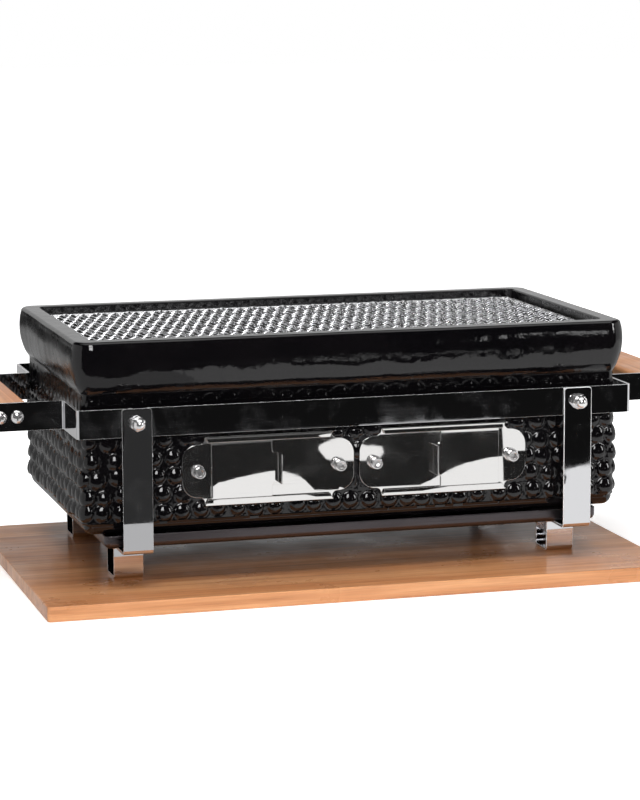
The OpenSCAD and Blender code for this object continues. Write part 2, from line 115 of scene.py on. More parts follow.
class Shader:
    """A node material with one Principled shader, and short calls for the nodes that feed it."""

    def __init__(self, name, color, roughness, metallic=0.0, **sockets):
        self.material = bpy.data.materials.new(name)
        self.material.use_nodes = True
        self.tree = self.material.node_tree
        self.bsdf = self.tree.nodes["Principled BSDF"]
        self.set("Base Color", (*color, 1))
        self.set("Roughness", roughness)
        self.set("Metallic", metallic)
        for socket, value in sockets.items():
            self.set(socket.replace("_", " "), value)

    def set(self, socket, value):
        self.bsdf.inputs[socket].default_value = value

    def feed(self, socket, output):
        self.tree.links.new(output, self.bsdf.inputs[socket])

    def node(self, kind, inputs=(), **properties):
        made = self.tree.nodes.new("ShaderNode" + kind)
        for key, value in properties.items():
            setattr(made, key, value)
        for key, value in dict(inputs).items():
            if isinstance(value, bpy.types.NodeSocket):
                self.tree.links.new(value, made.inputs[key])
            else:
                made.inputs[key].default_value = value
        return made

    def place(self, scale=(1, 1, 1), shift=(0, 0, 0), turn=(0, 0, 0)):
        """Object coordinates, which are the row frame's metres, scaled."""
        coords = self.node("TexCoord").outputs["Object"]
        return self.node("Mapping", {"Vector": coords, "Scale": scale, "Location": shift,
                                     "Rotation": turn}).outputs["Vector"]

    def noise(self, vector, scale, detail=3.0, rough=0.55, distortion=0.0):
        return self.node("TexNoise", {"Vector": vector, "Scale": scale, "Detail": detail,
                                      "Roughness": rough, "Distortion": distortion}).outputs["Fac"]

    def ramp(self, factor, stops):
        """Colour ramp from (position, colour or grey) stops."""
        made = self.node("ValToRGB", {"Fac": factor})
        band = made.color_ramp
        while len(band.elements) < len(stops):
            band.elements.new(0.5)
        for element, (position, value) in zip(band.elements, stops):
            element.position = position
            element.color = (*value, 1) if hasattr(value, "__len__") else (value, value, value, 1)
        return made.outputs["Color"]

    def spread(self, factor, low, high, start=0.0, stop=1.0):
        """factor from start..stop mapped to low..high."""
        return self.node("MapRange", {"Value": factor, "From Min": start, "From Max": stop,
                                      "To Min": low, "To Max": high}).outputs["Result"]

    def blend(self, factor, a, b, mode="MIX"):
        made = self.node("Mix", data_type="RGBA", blend_type=mode)
        for index, value in ((0, factor), (6, a), (7, b)):
            if isinstance(value, bpy.types.NodeSocket):
                self.tree.links.new(value, made.inputs[index])
            else:
                made.inputs[index].default_value = value if index == 0 else (*value, 1)
        return made.outputs[2]

    def math(self, operation, a, b):
        return self.node("Math", {0: a, 1: b}, operation=operation).outputs[0]

    def bump(self, height, distance, strength=1.0, over=None):
        inputs = {"Height": height, "Distance": distance, "Strength": strength}
        if over is not None:
            inputs["Normal"] = over
        made = self.node("Bump", inputs).outputs["Normal"]
        self.feed("Normal", made)
        return made


# ---- Materials ----

def glaze():
    """Black gloss glaze: deep, slightly uneven, with a soft orange peel. The two ends are duller."""
    s = Shader("black_glaze", (0.011, 0.0105, 0.0115), 0.07, IOR=1.52)
    tint = s.noise(s.place(), 9, 5, 0.6)
    s.feed("Base Color", s.ramp(tint, [(0.35, (0.0015, 0.0014, 0.0018)), (0.62, (0.0032, 0.0027, 0.0032)),
                                       (0.8, (0.008, 0.006, 0.006))]))
    dull = s.noise(s.place(shift=(3, 1, 2)), 45, 4, 0.6)
    facing = s.node("SeparateXYZ", {"Vector": s.node("TexCoord").outputs["Normal"]}).outputs[0]
    end = s.spread(s.math("ABSOLUTE", facing, 0), 0, 1, 0.75, 0.95)
    even = s.spread(dull, 0.035, 0.13, 0.35, 0.75)
    s.feed("Roughness", s.math("ADD", even, s.math("MULTIPLY", end, 0.2)))
    streaks = s.math("MULTIPLY", end, s.noise(s.place((500, 500, 90)), 1, 4, 0.7))
    peel = s.bump(s.math("ADD", s.noise(s.place(), 330, 3, 0.55), streaks), 0.00009, 0.7)
    s.bump(s.noise(s.place(shift=(5, 0, 0)), 60, 3, 0.5), 0.0006, 0.5, over=peel)
    return s.material


def fired_clay():
    """The trough's inside: the same dark body without glaze, dusted with ash."""
    s = Shader("fired_clay", (0.03, 0.028, 0.027), 0.8)
    ash = s.noise(s.place(), 30, 6, 0.65)
    s.feed("Base Color", s.ramp(ash, [(0.3, (0.02, 0.018, 0.017)), (0.6, (0.05, 0.046, 0.043)),
                                      (0.8, (0.10, 0.095, 0.09))]))
    s.feed("Roughness", s.spread(ash, 0.7, 0.92))
    s.bump(s.noise(s.place(), 420, 4, 0.7), 0.0004, 0.6)
    return s.material


def polished_steel(name, color, along, low, high, lines=0.18, metallic=1.0):
    """Polished stainless: faint draw lines along one axis, with smudges and a thin haze in patches."""
    s = Shader(name, color, low, metallic=metallic)
    stretch = {"X": (6, 900, 900), "Y": (900, 6, 900), "Z": (900, 900, 6)}[along]
    draw = s.noise(s.place(stretch), 1, 3, 0.6)
    smudge = s.noise(s.place(), 34, 4, 0.62, 0.4)
    scratch = s.noise(s.place(tuple(v * 1.7 for v in stretch), shift=(7, 3, 1)), 1, 2, 0.8)
    dull = s.math("ADD", s.spread(smudge, low, high, 0.5, 0.85), s.spread(draw, 0, 0.02, 0.5, 0.9))
    s.feed("Roughness", dull)
    haze = s.math("MULTIPLY", s.spread(smudge, 0, 1, 0.5, 0.75), s.spread(draw, 0.3, 1.0, 0.35, 0.65))
    s.feed("Metallic", s.spread(haze, metallic, metallic - 0.03))
    s.feed("Base Color", s.blend(s.spread(scratch, 0, 0.5, 0.62, 0.8), color,
                                 tuple(c * 0.8 for c in color)))
    s.bump(draw, 0.000004, lines)
    return s.material


def satin_steel(name, color, roughness, along="X", metallic=1.0):
    """Duller rolled sheet, with a visible grain and blotches."""
    s = Shader(name, color, roughness, metallic=metallic)
    stretch = {"X": (10, 700, 700), "Z": (700, 700, 10)}[along]
    grain = s.noise(s.place(stretch), 1, 4, 0.65)
    blotch = s.noise(s.place(), 26, 4, 0.6)
    s.feed("Base Color", s.blend(s.spread(blotch, 0, 0.6, 0.4, 0.75), color,
                                 tuple(c * 0.7 for c in color)))
    s.feed("Roughness", s.spread(grain, roughness - 0.08, roughness + 0.12, 0.3, 0.7))
    s.bump(grain, 0.00004, 0.5)
    return s.material


def plated_wire(name, color, roughness):
    """Bright plated wire: fine die lines and small dull spots."""
    s = Shader(name, color, roughness, metallic=1.0)
    spots = s.noise(s.place(), 320, 3, 0.6)
    s.feed("Roughness", s.spread(spots, roughness * 0.6, roughness * 1.8, 0.3, 0.75))
    s.feed("Base Color", s.blend(s.spread(spots, 0, 0.7, 0.55, 0.8), color,
                                 tuple(c * 0.66 for c in color)))
    s.bump(s.noise(s.place(), 1500, 2, 0.5), 0.00003, 0.4)
    return s.material


def brass():
    """Brass with the rings that turning leaves."""
    s = Shader("turned_brass", (0.72, 0.52, 0.24), 0.28, metallic=1.0)
    turned = s.noise(s.place((300, 4000, 300)), 1, 2, 0.5)
    s.feed("Roughness", s.spread(turned, 0.2, 0.42))
    s.bump(turned, 0.00003, 0.5)
    return s.material


BAMBOO_DARK = (0.41, 0.16, 0.055)
BAMBOO_MID = (0.61, 0.275, 0.11)
BAMBOO_PALE = (0.77, 0.42, 0.195)


def laminated_wood(name, strip_w, dark, mid, pale, along="X", roughness=0.34, seams=0.5):
    """Strips of bamboo glued side by side, each with its own tone, fibres and a few knuckles."""
    s = Shader(name, mid, roughness, Coat_Weight=0.25, Coat_Roughness=0.16)
    axis = {"X": 0, "Y": 1}[along]
    across = 1 - axis
    split = s.node("SeparateXYZ", {"Vector": s.place()})
    lane = s.math("DIVIDE", split.outputs[across], strip_w)
    number = s.math("FLOOR", lane, 0)
    edge = s.math("PINGPONG", lane, 0.5)
    random = s.node("TexWhiteNoise", {"W": number}, noise_dimensions="1D")
    # each strip reads its own stretch of the grain
    shifted = s.node("CombineXYZ", {"X": s.math("MULTIPLY", random.outputs["Value"], 9.0),
                                    "Y": s.math("MULTIPLY", random.outputs["Value"], 3.0)})
    stretch = [60, 60, 60]
    stretch[axis] = 2.2
    moved = s.node("VectorMath", {0: s.place(tuple(stretch)), 1: shifted.outputs[0]},
                   operation="ADD").outputs[0]
    grain = s.noise(moved, 2.2, 7, 0.62, 0.25)
    fine_stretch = [900, 900, 900]
    fine_stretch[axis] = 18
    fibre = s.noise(s.place(tuple(fine_stretch)), 1, 4, 0.7)
    tone = s.ramp(grain, [(0.3, dark), (0.5, mid), (0.72, pale)])
    strip = s.blend(s.spread(random.outputs["Value"], 0.05, 0.34), tone, dark, "MULTIPLY")
    lined = s.blend(s.spread(fibre, 0, 0.42, 0.45, 0.8), strip, tuple(c * 0.55 for c in dark))
    joint = s.spread(edge, seams, 0, 0.0, 0.035)
    s.feed("Base Color", s.blend(joint, lined, tuple(c * 0.35 for c in dark)))
    wear = s.noise(s.place(shift=(2, 2, 2)), 18, 4, 0.6)
    s.feed("Roughness", s.spread(wear, roughness - 0.09, roughness + 0.14, 0.35, 0.7))
    fibres = s.bump(fibre, 0.00006, 0.55)
    s.bump(s.spread(edge, 0, 1, 0.0, 0.03), 0.0001, 0.5, over=fibres)
    return s.material


STRAP_COLOR = (0.70, 0.70, 0.715)
GLAZE = glaze()
CLAY = fired_clay()
STRAP_X = polished_steel("strap_steel_x", STRAP_COLOR, "X", 0.015, 0.08)
STRAP_Z = polished_steel("strap_steel_z", STRAP_COLOR, "Z", 0.015, 0.08)
# The rounded strap edges get a paler, less metallic steel: a painted highlight along them.
STRAP_EDGE_HIGHLIGHT = satin_steel("strap_edge_highlight", (0.9, 0.9, 0.91), 0.42, metallic=0.45)
VENT = polished_steel("vent_steel", (0.80, 0.79, 0.78), "X", 0.01, 0.045, metallic=0.99)
FASTENER = polished_steel("fastener_steel", (0.8, 0.79, 0.79), "Y", 0.07, 0.16, metallic=0.86)
TRAY = satin_steel("tray_steel", (0.1, 0.09, 0.095), 0.3)
GRATE = satin_steel("grate_steel", (0.2, 0.195, 0.19), 0.5)
SPRING = satin_steel("spring_steel", (0.42, 0.41, 0.41), 0.3, "Z")
WIRE = plated_wire("mesh_wire", (0.88, 0.88, 0.9), 0.22)
EDGING = plated_wire("mesh_edge", (0.78, 0.78, 0.79), 0.24)
BRASS = brass()
BOARD = laminated_wood("bamboo", 0.0205, BAMBOO_DARK, BAMBOO_MID, BAMBOO_PALE)
GRIP = laminated_wood("grip_wood", 0.019, BAMBOO_DARK, BAMBOO_MID, BAMBOO_PALE, along="Y",
                      roughness=0.4, seams=0.2)


# ---- Mesh helpers ----

def raw(name, points, faces):
    """An object from points and faces, in the scene but not yet part of the grill."""
    mesh = bpy.data.meshes.new(name)
    mesh.from_pydata(np.asarray(points).tolist(), [], faces)
    made = bpy.data.objects.new(name, mesh)
    bpy.context.scene.collection.objects.link(made)
    return made


def piece(name, points, faces, body, slot, materials, nodes, sharp=35):
    """A new mesh that rides on body and stands for the CAD nodes."""
    return finish(raw(name, points, faces), body, materials, nodes, sharp)


def finish(made, body, materials, nodes, sharp):
    """Shades the mesh, leaning its normals to the large faces, and hands it to the frame."""
    made.data.materials.clear()
    for material in materials:
        made.data.materials.append(material)
    made.data.update()
    made.data.shade_smooth()
    made.data.set_sharp_from_angle(angle=math.radians(sharp))
    weighted = made.modifiers.new("weighted normals", "WEIGHTED_NORMAL")
    weighted.keep_sharp = True
    weighted.weight = 100
    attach(made, body)
    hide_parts(*nodes)
    return made


def ring_quads(rows, columns):
    """Quads between rows of a grid, where each row is a closed ring of columns points."""
    low = np.arange(rows - 1)[:, None] * columns
    here = np.arange(columns)[None, :]
    after = (here + 1) % columns
    quads = np.stack([low + here, low + after, low + columns + after, low + columns + here], -1)
    return quads.reshape(-1, 4).tolist()


def closed_skin(rings):
    """Points and faces of a closed skin through equal rings, with a flat cap at each end."""
    rings = np.asarray(rings)
    rows, columns = rings.shape[:2]
    faces = ring_quads(rows, columns)
    faces.append(list(range(columns))[::-1])
    faces.append([(rows - 1) * columns + i for i in range(columns)])
    return rings.reshape(-1, 3), faces


def looped_skin(rings):
    """Points and faces of a skin that closes on itself, such as a ring of wire."""
    rings = np.asarray(rings)
    rows, columns = rings.shape[:2]
    faces = ring_quads(rows + 1, columns)
    count = rows * columns
    return rings.reshape(-1, 3), [[i % count for i in face] for face in faces]


def joined(parts):
    """Several (points, faces) as one."""
    points, faces, count = [], [], 0
    for part_points, part_faces in parts:
        part_points = np.asarray(part_points)
        points.append(part_points)
        faces += [[i + count for i in face] for face in part_faces]
        count += len(part_points)
    return np.concatenate(points), faces


def moved(part, matrix):
    """Points and faces carried by a matrix, turned over again if it mirrors them."""
    points, faces = part
    turned = np.asarray(points) @ np.array(matrix.to_3x3()).T + np.array(matrix.translation)
    if matrix.determinant() < 0:
        faces = [face[::-1] for face in faces]
    return turned, faces


def apply_modifiers(made):
    """Swaps the object's mesh for the one that its modifiers give."""
    depsgraph = bpy.context.evaluated_depsgraph_get()
    mesh = bpy.data.meshes.new_from_object(made.evaluated_get(depsgraph))
    made.modifiers.clear()
    made.data = mesh


def refined(node, body, slot, material, edge_r, edge_highlight_material=None, segments=2, sharp=40):
    """A copy of a CAD node whose edges are rounded, as a pressed, cut or sanded edge is. The
    rounded edges may have a material of their own, a paler one that paints a highlight on them."""
    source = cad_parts[node]
    mesh = bpy.data.meshes.new(node + "_fine")
    made = bpy.data.objects.new(node + "_fine", mesh)
    bm = bmesh.new()
    bm.from_mesh(source.data)
    bmesh.ops.remove_doubles(bm, verts=bm.verts, dist=2e-6)
    bmesh.ops.dissolve_limit(bm, angle_limit=math.radians(0.6), verts=bm.verts, edges=bm.edges)
    bm.to_mesh(mesh)
    bm.free()
    bpy.context.scene.collection.objects.link(made)
    bevel = made.modifiers.new("edges", "BEVEL")
    bevel.width = edge_r
    bevel.segments = segments
    bevel.limit_method = "ANGLE"
    bevel.angle_limit = math.radians(35)
    bevel.use_clamp_overlap = True
    if edge_highlight_material is None:
        apply_modifiers(made)
        return finish(made, body, [material], [node], sharp)
    made.data.materials.append(material)
    made.data.materials.append(edge_highlight_material)
    bevel.material = 1
    apply_modifiers(made)
    indices = [face.material_index for face in made.data.polygons]
    finish(made, body, [material, edge_highlight_material], [node], sharp)
    made.data.polygons.foreach_set("material_index", indices)
    return made


def cut(made, cutters, operation="DIFFERENCE"):
    """Cuts closed meshes out of a piece, or adds them to it, and removes them."""
    for points, faces in cutters:
        cutter = raw("cutter", points, faces)
        modifier = made.modifiers.new("cut", "BOOLEAN")
        modifier.object = cutter
        modifier.operation = operation
        modifier.solver = "MANIFOLD"
        apply_modifiers(made)
        bpy.data.objects.remove(cutter)


def block(low, high):
    """Points and faces of a plain box, for cutting."""
    corners = [(x, y, z) for z in (low[2], high[2]) for y in (low[1], high[1])
               for x in (low[0], high[0])]
    return np.array(corners), [[0, 2, 3, 1], [4, 5, 7, 6], [0, 1, 5, 4], [1, 3, 7, 5],
                               [3, 2, 6, 7], [2, 0, 4, 6]]


def round_rect_ring(length, width, radius, z, step, corner_steps, base_l, base_w):
    """Ring of points round a rectangle with round corners, anticlockwise from the +X+Y corner,
    and its outward normals. Rings of one base size have the same count of points."""
    radius = max(radius, 0.0005)
    across_x = int(round(base_l / step))
    across_y = int(round(base_w / step))
    points, normals = [], []
    for corner, sides in enumerate((across_x, across_y, across_x, across_y)):
        start = math.pi / 2 * corner
        middle = np.array([(length / 2 - radius) * (1, -1, -1, 1)[corner],
                           (width / 2 - radius) * (1, 1, -1, -1)[corner]])
        angles = start + np.linspace(0, math.pi / 2, corner_steps + 1)
        out = np.stack([np.cos(angles), np.sin(angles)], 1)
        points.append(middle + radius * out)
        normals.append(out)
        next_corner = (corner + 1) % 4
        next_middle = np.array([(length / 2 - radius) * (1, -1, -1, 1)[next_corner],
                                (width / 2 - radius) * (1, 1, -1, -1)[next_corner]])
        first, last = middle + radius * out[-1], next_middle + radius * out[-1]
        share = (np.arange(1, sides) / sides)[:, None]
        points.append(first + (last - first) * share)
        normals.append(np.repeat(out[-1:], sides - 1, 0))
    flat = np.concatenate(points)
    return (np.column_stack([flat, np.full(len(flat), z)]),
            np.column_stack([np.concatenate(normals), np.zeros(len(flat))]))


def smooth_line(knots, count):
    """Catmull-Rom line through (x, y) knots."""
    knots = np.asarray(knots, float)
    padded = np.vstack([2 * knots[0] - knots[1], knots, 2 * knots[-1] - knots[-2]])
    line = []
    for i in range(len(knots) - 1):
        a, b, c, d = padded[i:i + 4]
        t = np.linspace(0, 1, count, endpoint=i == len(knots) - 2)[:, None]
        line.append(0.5 * (2 * b + (c - a) * t + (2 * a - 5 * b + 4 * c - d) * t ** 2
                           + (3 * b - a - 3 * c + d) * t ** 3))
    return np.concatenate(line)


# ---- Ceramic trough ----

TROUGH_LOW, TROUGH_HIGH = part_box("ceramic_body")
TROUGH_L = TROUGH_HIGH.x - TROUGH_LOW.x
TROUGH_W = TROUGH_HIGH.y - TROUGH_LOW.y
WALL_LOW_Z = TROUGH_LOW.z + FOOT_H
WALL_H = TROUGH_HIGH.z - WALL_LOW_Z
BOTTOM_R = 8 * MM
RIM_R = 3 * MM
RIM_LEAN = 1.5 * MM
RIM_INNER_R = 1.4 * MM
WALL_STEP = 0.95 * MM
CORNER_STEPS = 14

BUMP_R = 6.7 * MM
BUMP_H = 2.7 * MM
BUMP_SAG = 0.3
BUMP_MOAT = 0.3 * MM
BUMP_APART = 14.3 * MM
BUMPS_FROM = 9 * MM
BUMPS_BELOW_COLLAR = 3 * MM
BUMP_FADE = 4 * MM

COLLAR_SWELL = 0.45 * MM
COLLAR_RIPPLE = 0.22
COLLAR_EDGE_WAVE = 1.2 * MM
RIM_DIP = 0.12 * MM
VENT_SPARE = 0.4 * MM
SKIN_GAP = 0.05 * MM


def scattered_bumps(length, low, high, seed=5):
    """Middles, sizes and rises of the bumps on a wall unrolled to length: staggered rows, shaken."""
    random = np.random.default_rng(seed)
    rows = int(round((high - low) / (BUMP_APART * 0.9)))
    spots = []
    for row in range(rows):
        count = int(length / BUMP_APART)
        turn = random.uniform(0, 1)
        for i in range(count):
            spots.append(((i + turn) * length / count, low + (row + 0.5) * (high - low) / rows))
    spots = np.array(spots) + random.uniform(-1, 1, (len(spots), 2)) * (2.0 * MM, 1.5 * MM)
    rises = random.uniform(0.75, 1.05, len(spots))
    rises[spots[:, 1] > high - BUMP_APART] *= 0.2
    return spots, random.uniform(0.84, 1.04, len(spots)), rises


def bump_height(along, height, length, low, high):
    """How far the wall stands out at points of the unrolled wall: round domes that sag a little."""
    spots, sizes, rises = scattered_bumps(length, low, high)
    out, moat = np.zeros(len(along)), np.zeros(len(along))
    for (s, z), size, rise in zip(spots, sizes, rises):
        reach = BUMP_R * size
        near = np.nonzero(np.abs(height - z) < 1.3 * reach)[0]
        gap = (along[near] - s + length / 2) % length - length / 2
        near, gap = near[np.abs(gap) < 1.3 * reach], gap[np.abs(gap) < 1.3 * reach]
        drop = (z - height[near]) / reach
        share = (gap / reach) ** 2 + drop ** 2
        dome = BUMP_H * rise * np.clip(1 - share, 0, 1) ** 0.6 * (1 + BUMP_SAG * drop)
        out[near] = np.maximum(out[near], dome)
        ring = BUMP_MOAT * np.exp(-((np.sqrt(share) - 1.04) / 0.09) ** 2)
        moat[near] = np.maximum(moat[near], ring)
    return np.where(out > 0.4 * BUMP_H, out, out - moat)


def slow_wave(along, length, seed, terms=7):
    """Gentle unevenness that closes on itself round the trough, from about -1 to 1."""
    random = np.random.default_rng(seed)
    total = np.zeros(len(along))
    for turn in range(2, 2 + terms * 2, 2):
        total += np.sin(2 * math.pi * turn * along / length + random.uniform(0, 6.28)) / terms ** 0.5
    return total


def trough_rows():
    """Outer profile from the underside to the rim: (set in, height, whether it takes bumps)."""
    rows = []
    for share in np.linspace(0, 1, 9):
        turn = share * math.pi / 2
        rows.append((WALL_INSET + BOTTOM_R * (1 - math.sin(turn)), BOTTOM_R * (1 - math.cos(turn)), 0))
    collar = WALL_H - COLLAR_H
    for z in np.arange(BOTTOM_R + WALL_STEP, collar, WALL_STEP):
        belly = 1.2 * MM * math.cos(math.pi / 2 * z / collar) ** 2
        rows.append((WALL_INSET - belly, z, 1))
    knots = [(WALL_INSET, collar), (5.6 * MM, collar + 2 * MM), (3.4 * MM, collar + 6 * MM),
             (0.9 * MM, collar + 14 * MM), (0, collar + 24 * MM), (0.6 * MM, collar + 32 * MM),
             (RIM_LEAN, WALL_H - RIM_R)]
    rows += [(inset, z, 0) for inset, z in smooth_line(knots, 6)]
    for turn in np.linspace(0, math.pi / 2, 7)[1:]:
        rows.append((RIM_LEAN + RIM_R * (1 - math.cos(turn)), WALL_H - RIM_R * (1 - math.sin(turn)), 0))
    rows.append((8 * MM, WALL_H, 0))
    return rows


def trough_ring(length, width, radius, z):
    """One ring round the trough. Rings of all sizes have the same count of points."""
    least = 2 * (WALL_INSET + BOTTOM_R)
    return round_rect_ring(length, width, radius, z, WALL_STEP, CORNER_STEPS,
                           TROUGH_L - least, TROUGH_W - least)


def flat_behind_vents(out, points, z):
    """Bump heights along one ring, made flat where the sheet of a vent lies on the wall."""
    for node in ("vent_frame_left", "vent_frame_right"):
        low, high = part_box(node)
        off = abs(z - (low.z + high.z) / 2) - VENT_SPARE
        if off >= (high.z - low.z) / 2:
            continue
        reach_in = 0 if off < EAR_H / 2 else EAR_L
        behind = ((points[:, 1] < 0) & (points[:, 0] > low.x + reach_in - VENT_SPARE)
                  & (points[:, 0] < high.x - reach_in + VENT_SPARE))
        out = np.where(behind, points[:, 1] - high.y - SKIN_GAP, out)
    return out


def trough_outside():
    """Rings from the underside to the rim: a wall of bumps, and a collar with slow waves."""
    rows = trough_rows()
    wall, _ = trough_ring(TROUGH_L - 2 * WALL_INSET, TROUGH_W - 2 * WALL_INSET,
                          TROUGH_CORNER_R - WALL_INSET, 0)
    steps = np.linalg.norm(np.roll(wall, -1, 0) - wall, axis=1)
    along = np.concatenate([[0], np.cumsum(steps)[:-1]])
    around = steps.sum()
    collar = WALL_H - COLLAR_H
    heights = np.array([z for _, z, takes in rows if takes])
    bumps = bump_height(np.tile(along, len(heights)), np.repeat(heights, len(along)), around,
                        BUMPS_FROM, collar - BUMPS_BELOW_COLLAR).reshape(len(heights), -1)
    bump_rows = iter(bumps)
    wave = slow_wave(along, around, 3)
    edge_wave = slow_wave(along, around, 8, 16)
    ripple = slow_wave(along, around, 4, 45)
    rings = []
    for inset, z, takes in rows:
        points, normals = trough_ring(TROUGH_L - 2 * inset, TROUGH_W - 2 * inset,
                                      TROUGH_CORNER_R - inset, WALL_LOW_Z + z)
        if takes:
            out = next(bump_rows) * np.clip((collar - z) / BUMP_FADE, 0, 1)
            out = flat_behind_vents(out, points, WALL_LOW_Z + z)
            points = points + normals * out[:, None]
        elif z > collar:
            share = (z - collar) / COLLAR_H
            swell = math.sin(math.pi * min(share, 1)) * COLLAR_SWELL
            points = points + normals * (swell * (wave + COLLAR_RIPPLE * ripple))[:, None]
            points[:, 2] += COLLAR_EDGE_WAVE * edge_wave * max(0, 1 - abs(share - 0.3) / 0.4)
            points[:, 2] -= RIM_DIP * (1 + wave / 2) * min(share, 1) ** 3
        rings.append(points)
    return rings


def inner_sizes():
    """Length and width of the mesh recess, the fire chamber and the ash space."""
    recess = np.array([TROUGH_L, TROUGH_W]) - 2 * (RIM_LEAN + RIM_FLAT)
    fire = recess - 2 * MESH_LEDGE
    return recess, fire, fire - 2 * GRATE_LEDGE


def trough_inside():
    """Rings from the rim's inner edge down to the floor, with worn edges on the two ledges."""
    recess, fire, ash = inner_sizes()
    mesh_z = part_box("mesh_frame")[0].z
    grate_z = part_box("charcoal_grate")[0].z
    floor_z = WALL_LOW_Z + FLOOR_T
    steps = []
    for turn in np.linspace(0, math.pi / 2, 5):
        steps.append((recess + 2 * RIM_INNER_R * (1 - math.sin(turn)),
                      TROUGH_HIGH.z - RIM_INNER_R * (1 - math.cos(turn))))
    steps += [(recess, mesh_z + 0.8 * MM),
              (recess - 1.2 * MM, mesh_z - SKIN_GAP),
              (fire + 1.6 * MM, mesh_z - SKIN_GAP),
              (fire, mesh_z - 1.2 * MM),
              (fire, grate_z + 1 * MM),
              (fire - 1.2 * MM, grate_z - SKIN_GAP),
              (ash + 1.6 * MM, grate_z - SKIN_GAP),
              (ash, grate_z - 1.2 * MM),
              (ash, floor_z + 5 * MM),
              (ash - 3 * MM, floor_z + 1.4 * MM),
              (ash - 10 * MM, floor_z)]
    return [trough_ring(*size, CAVITY_R, z)[0] for size, z in steps]


def trough_holes():
    """The air ports, from the front into the ash space, and the blind holes of the inserts."""
    ash_w = inner_sizes()[2][1]
    over = 2 * MM
    holes = []
    for node, side in (("vent_door_left", 1), ("vent_door_right", -1)):
        low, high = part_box(node)
        x = low.x + DOOR_W / 2 if side > 0 else high.x - DOOR_W / 2
        z = (low.z + high.z) / 2
        holes.append(block((x - PORT_W / 2, -TROUGH_W / 2 - over, z - PORT_H / 2),
                           (x + PORT_W / 2, -ash_w / 2 + over, z + PORT_H / 2)))
    hole = turned([(0, INSERT_R), (INSERT_L + 1 * MM, INSERT_R)], 24)
    for spot in vent_screw_spots(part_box("vent_frame_left")[1].y + INSERT_L):
        holes.append(moved(hole, spot))
    return holes


def trough_feet():
    """Four square feet with an eased lower edge, standing in the tray."""
    low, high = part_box("base_tray")
    feet = []
    for x in (low.x + FOOT_FROM_TRAY, high.x - FOOT_FROM_TRAY):
        for y in (low.y + FOOT_FROM_TRAY, high.y - FOOT_FROM_TRAY):
            stack = []
            for inset, z in ((1.2, 0), (0.35, 0.35), (0, 1.2), (0, 11)):
                side = FOOT_SIZE - 2 * inset * MM
                ring = round_rect_ring(side, side, FOOT_CORNER_R, TROUGH_LOW.z + z * MM, 4 * MM, 6,
                                       28 * MM, 28 * MM)[0]
                stack.append(ring + np.array([x, y, 0]))
            feet.append(closed_skin(stack))
    return feet


def make_trough():
    """The glazed trough in one skin. Its recess, chamber and ash space are bare clay."""
    shell = raw("trough", *closed_skin(trough_outside() + trough_inside()))
    cut(shell, trough_holes())
    cut(shell, trough_feet(), "UNION")
    finish(shell, "grill", [GLAZE, CLAY], ["ceramic_body"], 50)
    (recess_l, recess_w), _, _ = inner_sizes()
    spare = 1 * MM
    clay_low, clay_high = WALL_LOW_Z + FLOOR_T - spare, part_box("mesh_frame")[0].z + spare
    for face in shell.data.polygons:
        spot = face.center
        within = abs(spot.x) < recess_l / 2 - spare and abs(spot.y) < recess_w / 2 - spare
        face.material_index = int(within and clay_low < spot.z < clay_high)


def make_tray():
    """Pressed tray: a wide bend round the bottom, a thin wall and a rounded upper edge."""
    low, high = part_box("base_tray")
    length, width, corner = high.x - low.x, high.y - low.y, 5 * MM
    sheet, bend = 1.5 * MM, 4.5 * MM
    rows = []
    for turn in np.linspace(0, math.pi / 2, 7):
        rows.append((bend * (1 - math.sin(turn)), low.z + bend * (1 - math.cos(turn))))
    top = high.z - sheet / 2
    for turn in np.linspace(0, math.pi, 7):
        rows.append((sheet / 2 * (1 - math.cos(turn)), top + sheet / 2 * math.sin(turn)))
    for turn in np.linspace(math.pi / 2, 0, 7):
        inner = bend - sheet
        rows.append((sheet + inner * (1 - math.sin(turn)), low.z + sheet + inner * (1 - math.cos(turn))))
    rings = [round_rect_ring(length - 2 * inset, width - 2 * inset, corner - min(inset, 4 * MM), z,
                             8 * MM, 8, 368 * MM, 208 * MM)[0] for inset, z in rows]
    piece("tray_pressed", *closed_skin(rings), "grill", "tray_steel", [TRAY], ["base_tray"], 40)


def vent_screw_spots(y):
    """Places of the four vent screws at depth y, each with its own turn, heads towards -Y."""
    spots = []
    for node in ("vent_frame_left", "vent_frame_right"):
        low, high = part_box(node)
        for x in (low.x + SCREW_FROM_EAR, high.x - SCREW_FROM_EAR):
            spots.append(Matrix.Translation((x, y, (low.z + high.z) / 2))
                         @ Matrix.Rotation(1.3 * len(spots) + 0.4, 4, "Y"))
    return spots


def both_sides(x, y, z, turn=0.0):
    """Places at x, z on the front and the back, each turned to face outward."""
    spin = Matrix.Rotation(turn, 4, "Y")
    return [Matrix.Translation((x, -y, z)) @ spin,
            Matrix.Translation((x, y, z)) @ Matrix.Rotation(math.pi, 4, "Z") @ spin]


# ---- Cooking mesh ----

def wire(points, radius, sides=8):
    """Round wire along points that lie in one upright plane."""
    points = np.asarray(points)
    ahead = np.gradient(points, axis=0)
    ahead /= np.linalg.norm(ahead, axis=1)[:, None]
    plane = np.cross(ahead, (0, 0, 1))
    plane /= np.linalg.norm(plane, axis=1)[:, None]
    up = np.cross(plane, ahead)
    rings = []
    for turn in np.linspace(0, 2 * math.pi, sides, endpoint=False):
        rings.append(points + radius * (math.cos(turn) * plane + math.sin(turn) * up))
    return closed_skin(np.stack(rings, 1))


